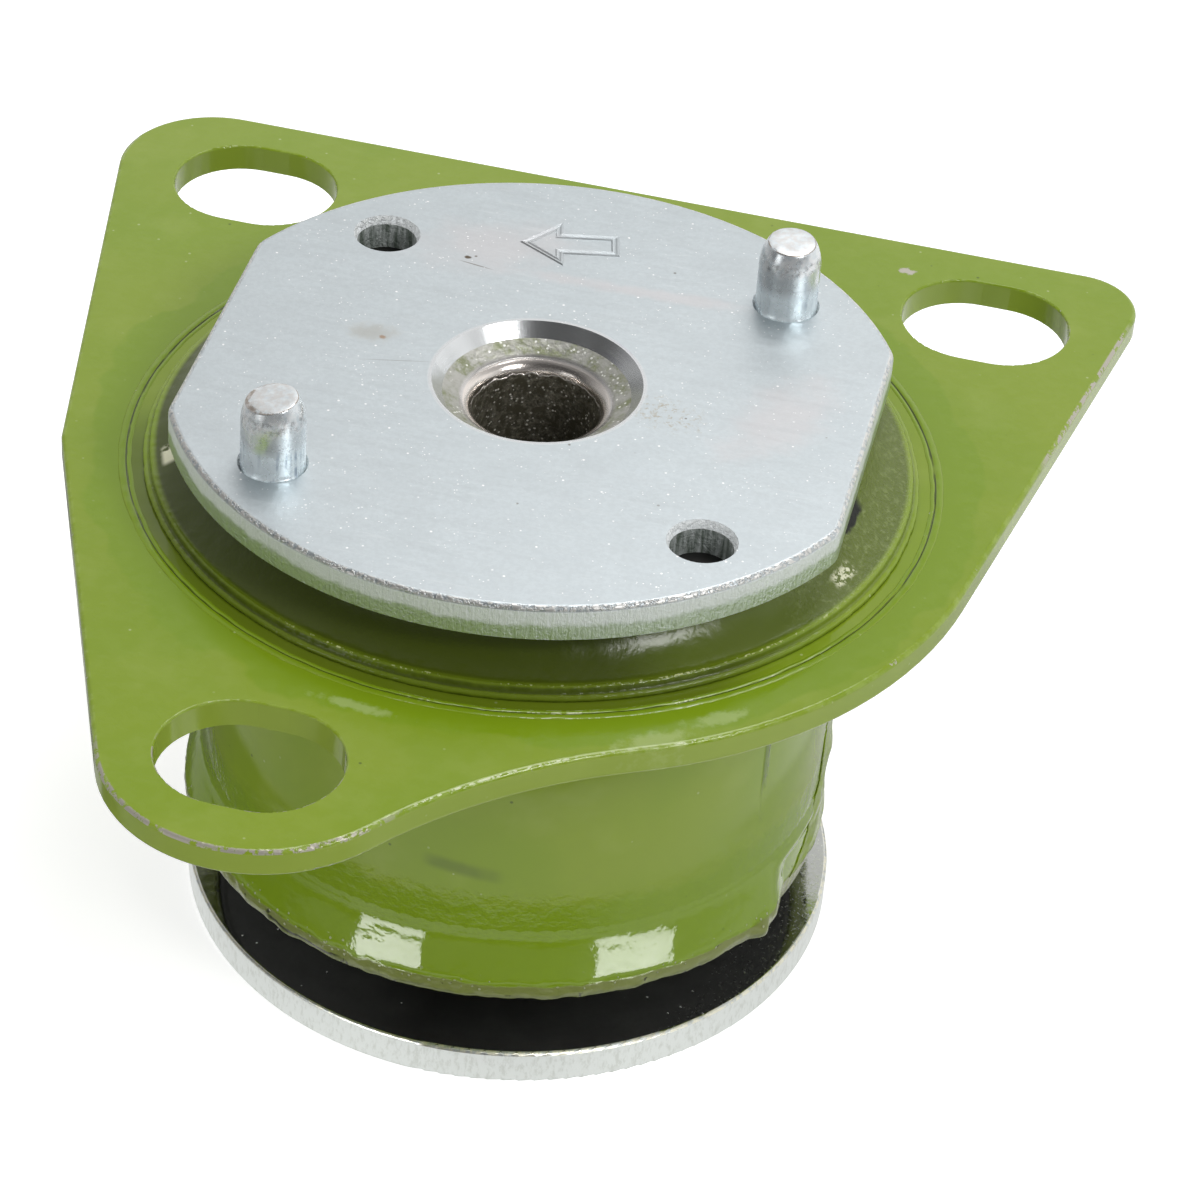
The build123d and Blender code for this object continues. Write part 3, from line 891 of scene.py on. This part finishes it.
# Seam bead: paint drawn into the joint between the cup's flange and the bracket
seam_section = [(seam_radius + out, bracket_top + rise) for out, rise in (
    (-0.70, -0.03), (-0.62, 0.03), (-0.40, 0.10), (-0.18, 0.07), (-0.07, -0.01), (0.0, -0.02),
    (0.10, 0.02), (0.25, 0.11), (0.55, 0.14), (0.95, 0.07), (1.25, -0.03))]


def seam_shape(angle, radius, z):
    """The bead comes and goes round the joint."""
    here = on_circle(angle, radius, 0.0)
    share = 0.75 + 0.6 * lumps(here, 7.0, 12.0) + 0.35 * lumps(here, 1.6, 14.0)
    rise = max(0.0, z - bracket_top)
    return radius + 0.10 * lumps(here, 3.0, 15.0), min(z, bracket_top) + rise * max(0.0, share)


seam_bead = turned("seam_bead", seam_section, seam_shape, seam_paint)
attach(seam_bead, "housing")


# Pins: turned, with a worn facet at the tip and a burr that half fills the chamfer at the foot
burr_angle, burr_size = -77.0, 0.38
pin_steps = 96
wall_rows = 12
nose_rows = 24


def pin_profile():
    """From the foot up to the tip: radius and height."""
    foot = plate_top + 0.12
    profile = [(3.9, plate_top - 1.5)]
    profile += [(pin_radius, plate_top + rise) for rise in (-1.2, -0.5, -0.2, 0.0, 0.12)]
    shoulder = pin_top - pin_nose
    for index in range(1, wall_rows + 1):
        profile.append((pin_radius, foot + (shoulder - foot) * index / wall_rows))
    fall = pin_radius - pin_tip_radius
    bend = (fall * fall + pin_nose * pin_nose) / (2 * fall)
    for index in range(1, nose_rows + 1):
        up = pin_nose * index / nose_rows
        profile.append((pin_radius - bend + math.sqrt(bend * bend - up * up), shoulder + up))
    profile += [(pin_tip_radius * share, pin_top) for share in (0.93, 0.8, 0.6, 0.4, 0.2)]
    return profile


def worn_pin(name, node, lean, steep, round_over):
    """A pin on its node's axis. lean is where its facet is lowest, in degrees, and steep its slope."""
    centre_x = (low(node, X) + high(node, X)) / 2
    centre_y = (low(node, Y) + high(node, Y)) / 2
    profile = pin_profile()
    points = []
    for radius, z in profile:
        for step in range(pin_steps):
            angle = 2 * math.pi * step / pin_steps
            here = (radius * math.cos(angle) + centre_x, radius * math.sin(angle) + centre_y, z)
            toward = radius * math.cos(angle - math.radians(lean))
            facet = pin_top - steep * (toward + pin_tip_radius) + 0.05 * lumps(here, 1.1, 3.0)
            facet -= round_over * max(0.0, radius / pin_tip_radius - 0.72) ** 2
            height = min(z, facet, pin_top) if z > plate_top + 3.0 else z
            burr = burr_size * math.exp(-(((z - plate_top + 0.25) / 0.28) ** 2))
            facing = math.cos(angle - math.radians(burr_angle))
            burr *= ease(abs(facing), 0.45, 0.75) * (0.8 + 0.4 * lumps(here, 0.8, 5.0))
            grown = radius + burr + 0.015 * lumps(here, 0.8, 1.0)
            x, y = on_circle(angle, grown, height)[:2]
            points.append((centre_x + x, centre_y + y, height))
    rows = len(profile)
    faces = []
    for row in range(0, (rows - 1) * pin_steps, pin_steps):
        for step in range(pin_steps):
            ahead = (step + 1) % pin_steps
            faces.append((row + step, row + ahead, row + pin_steps + ahead, row + pin_steps + step))
    faces.append(tuple(range(pin_steps))[::-1])
    faces.append(tuple(range((rows - 1) * pin_steps, rows * pin_steps)))
    pin = make_object(name, points, faces, pin_zinc)
    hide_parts(node)
    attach(pin, "core")


worn_pin("front_pin_worn", "front_pin", lean=201.0, steep=0.13, round_over=1.2)
worn_pin("back_pin_worn", "back_pin", lean=-77.0, steep=0.06, round_over=1.2)

# Stamped arrow: a plain mark on the plate, whose struck line has raised edges
arrow_centre = (-4.0, 33.9)
arrow_turn = math.radians(194.0)
arrow_outline = [(6.3, 0.0), (1.6, 4.4), (1.6, 2.0), (-6.3, 2.0), (-6.3, -2.0), (1.6, -2.0), (1.6, -4.4)]
stroke = [(-0.62, 0.0), (-0.42, 0.15), (-0.24, 0.13), (0.0, 0.012), (0.24, 0.13), (0.42, 0.15),
          (0.62, 0.0), (0.62, -0.08), (-0.62, -0.08)]


def stamped_arrow():
    points, faces = [], []
    corners = [Vector(corner) for corner in arrow_outline]
    for index, corner in enumerate(corners):
        before = (corner - corners[index - 1]).normalized()
        after = (corners[(index + 1) % len(corners)] - corner).normalized()
        out_before, out_after = Vector((before.y, -before.x)), Vector((after.y, -after.x))
        mitre = (out_before + out_after).normalized()
        mitre /= max(0.45, mitre.dot(out_after))
        for offset, height in stroke:
            flat = corner + mitre * offset
            x = flat.x * math.cos(arrow_turn) - flat.y * math.sin(arrow_turn) + arrow_centre[0]
            y = flat.x * math.sin(arrow_turn) + flat.y * math.cos(arrow_turn) + arrow_centre[1]
            points.append((x, y, plate_top + height))
    count = len(stroke)
    for index in range(len(corners)):
        ahead = (index + 1) % len(corners)
        for side in range(count):
            after = (side + 1) % count
            faces.append((index * count + side, index * count + after,
                          ahead * count + after, ahead * count + side))
    mark = make_object("stamped_arrow", points, faces, materials["top_plate"], smooth=False)
    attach(mark, "core")


stamped_arrow()


# Camera, solved from the photograph in its 1200 by 1200 frame
frame_pixels = 1200
focal_pixels = 4263.7
camera_elevation = 0.657
camera_roll = 0.077
camera_turn = math.radians(11.31)
plate_centre_pixel = (537.6, 380.1)
camera_depth = 573.6


def make_camera():
    forward = Vector((0, math.cos(camera_elevation), -math.sin(camera_elevation)))
    right = Vector((1, 0, 0))
    up = right.cross(forward)
    side = math.cos(camera_roll) * right + math.sin(camera_roll) * up
    head = math.cos(camera_roll) * up - math.sin(camera_roll) * right
    turn = Matrix.Rotation(camera_turn, 3, "Z")
    side, head, forward = turn @ side, turn @ head, turn @ forward
    across = (plate_centre_pixel[0] - frame_pixels / 2) / focal_pixels * camera_depth
    upward = (frame_pixels / 2 - plate_centre_pixel[1]) / focal_pixels * camera_depth
    place = Vector((0, 0, plate_top)) - across * side - upward * head - camera_depth * forward
    data = bpy.data.cameras.new("camera")
    data.sensor_width = 36.0
    data.lens = focal_pixels / frame_pixels * data.sensor_width
    data.clip_start = 0.01
    camera = bpy.data.objects.new("camera", data)
    bpy.context.scene.collection.objects.link(camera)
    axes = Matrix((side, head, -forward)).transposed().to_4x4()
    camera.matrix_world = Matrix.Translation(place * MM) @ axes
    bpy.context.scene.camera = camera


make_camera()


# Light: an uneven world, soft boxes on the right and the left in front and high up behind, and two
# low strips that the lip mirrors
def area_lamp(name, width, height, radiance):
    """A rectangular lamp in metres, with its radiance in world strengths."""
    data = bpy.data.lights.new(name, "AREA")
    data.shape = "RECTANGLE"
    data.size = width
    data.size_y = height
    data.energy = radiance * math.pi * width * height
    lamp = bpy.data.objects.new(name, data)
    bpy.context.scene.collection.objects.link(lamp)
    return lamp


def soft_box(name, azimuth, elevation, distance, size, radiance):
    """A square lamp that looks at the object."""
    lamp = area_lamp(name, size, size, radiance)
    target = Vector((0, 0, 0.05))
    a, e = math.radians(azimuth), math.radians(elevation)
    away = Vector((math.cos(a) * math.cos(e), math.sin(a) * math.cos(e), math.sin(e)))
    turn = away.to_track_quat("Z", "Y").to_matrix().to_4x4()
    lamp.matrix_world = Matrix.Translation(target + away * distance) @ turn


strip_spread = math.radians(100.0)
strip_tilt = math.radians(20.0)


def low_strip(name, first, last, height, radiance):
    """A strip on the floor between two places, seen in reflections alone, and only from low down."""
    lamp = area_lamp(name, math.dist(first, last) * MM, height * MM, radiance)
    lamp.data.spread = strip_spread
    lamp.visible_camera = False
    lamp.visible_diffuse = False
    middle = Vector(((first[0] + last[0]) / 2, (first[1] + last[1]) / 2, height / 2)) * MM
    away = Vector((last[1] - first[1], first[0] - last[0], 0)).normalized()
    if away.dot(middle) < 0:
        away = -away
    away.z = math.tan(strip_tilt)
    lamp.matrix_world = Matrix.Translation(middle) @ away.to_track_quat("Z", "Y").to_matrix().to_4x4()


soft_box("right_box", -30.0, 42.0, 1.0, 0.26, 13.0)
soft_box("left_box", -128.0, 14.0, 1.0, 0.36, 1.6)
soft_box("top_box", 78.0, 66.0, 1.1, 0.50, 4.8)
low_strip("left_strip", (-49.0, -99.0), (-16.5, -114.0), 10.0, 6.0)
low_strip("right_strip", (68.0, -90.0), (95.0, -58.0), 10.0, 6.0)


def make_world():
    """White for the camera; in reflections a pale backdrop, darker above, on the left and in front."""
    world = bpy.data.worlds.new("studio")
    world.use_nodes = True
    sky = Nodes(world.node_tree)
    sky.tree.nodes.clear()
    x, y, z = sky.parts(sky.node("ShaderNodeTexCoord").outputs["Generated"])
    mirrored = sky.both(sky.ramp(z, 0.50, 0.72, 1.15, 0.50), sky.ramp(y, -0.5, 0.3, 0.12, 1.0),
                        sky.ramp(x, -0.9, -0.3, 0.40, 1.0))
    ambient = sky.ramp(y, -0.6, 0.4, 0.77, 0.98)
    shown, reflected, white = (
        sky.fill(sky.node("ShaderNodeBackground"), colour, strength)
        for colour, strength in ((CARD, ambient), (CARD, mirrored), (WHITE, 1.0)))
    path = sky.node("ShaderNodeLightPath").outputs
    for ray, background in (("Is Glossy Ray", reflected), ("Is Transmission Ray", white),
                            ("Is Camera Ray", white)):
        shown = sky.fill(sky.node("ShaderNodeMixShader"), path[ray], shown, background)
    sky.feed(sky.node("ShaderNodeOutputWorld").inputs[0], shown)
    bpy.context.scene.world = world


make_world()


# Floor: white card that keeps a faint shadow. In reflections it has a shaded ring under the
# bracket, which fades on the right, a pale field round that, duller on the left, and a dark surround
floor_half = 2000.0


def floor_material():
    f = Finish("floor_card", CARD)
    path = f.node("ShaderNodeLightPath").outputs
    behind = f.ramp(f.angle, 100.0, 178.0)
    shaded = f.blend(behind, f.ramp(f.angle, -66.0, -40.0, 0.08, 0.60), 0.08)
    pale = f.blend(behind, f.ramp(f.angle, -112.0, -136.0, 0.95, 0.42), 0.42)
    near = f.ramp(f.radius, 57.0, 61.0, 0.95, shaded)
    field = f.both(f.ramp(f.radius, 77.0, 81.0), f.math("SUBTRACT", pale, shaded),
                   f.ramp(f.radius, 103.0, 109.0, 1.0, 0.0))
    beyond = f.ramp(f.radius, 130.0, 142.0, 0.0, 0.32)
    seen = f.both(f.any(path["Is Camera Ray"], path["Is Transmission Ray"]), 0.55)
    glow, mirror = (f.fill(f.node("ShaderNodeEmission"), WHITE, strength)
                    for strength in (seen, f.total(near, field, beyond)))
    lit = f.fill(f.node("ShaderNodeAddShader"), f.shader.outputs[0], glow)
    surface = f.fill(f.node("ShaderNodeMixShader"), path["Is Glossy Ray"], lit, mirror)
    f.feed(f.tree.nodes["Material Output"].inputs["Surface"], surface)
    return f.done(Roughness=0.6, Specular_IOR_Level=0.1)


floor_corners = [(x * floor_half, y * floor_half, 0) for x, y in ((-1, -1), (1, -1), (1, 1), (-1, 1))]
floor = make_object("floor", floor_corners, [(0, 1, 2, 3)], floor_material(), smooth=False)

bpy.context.scene.view_settings.view_transform = "Standard"
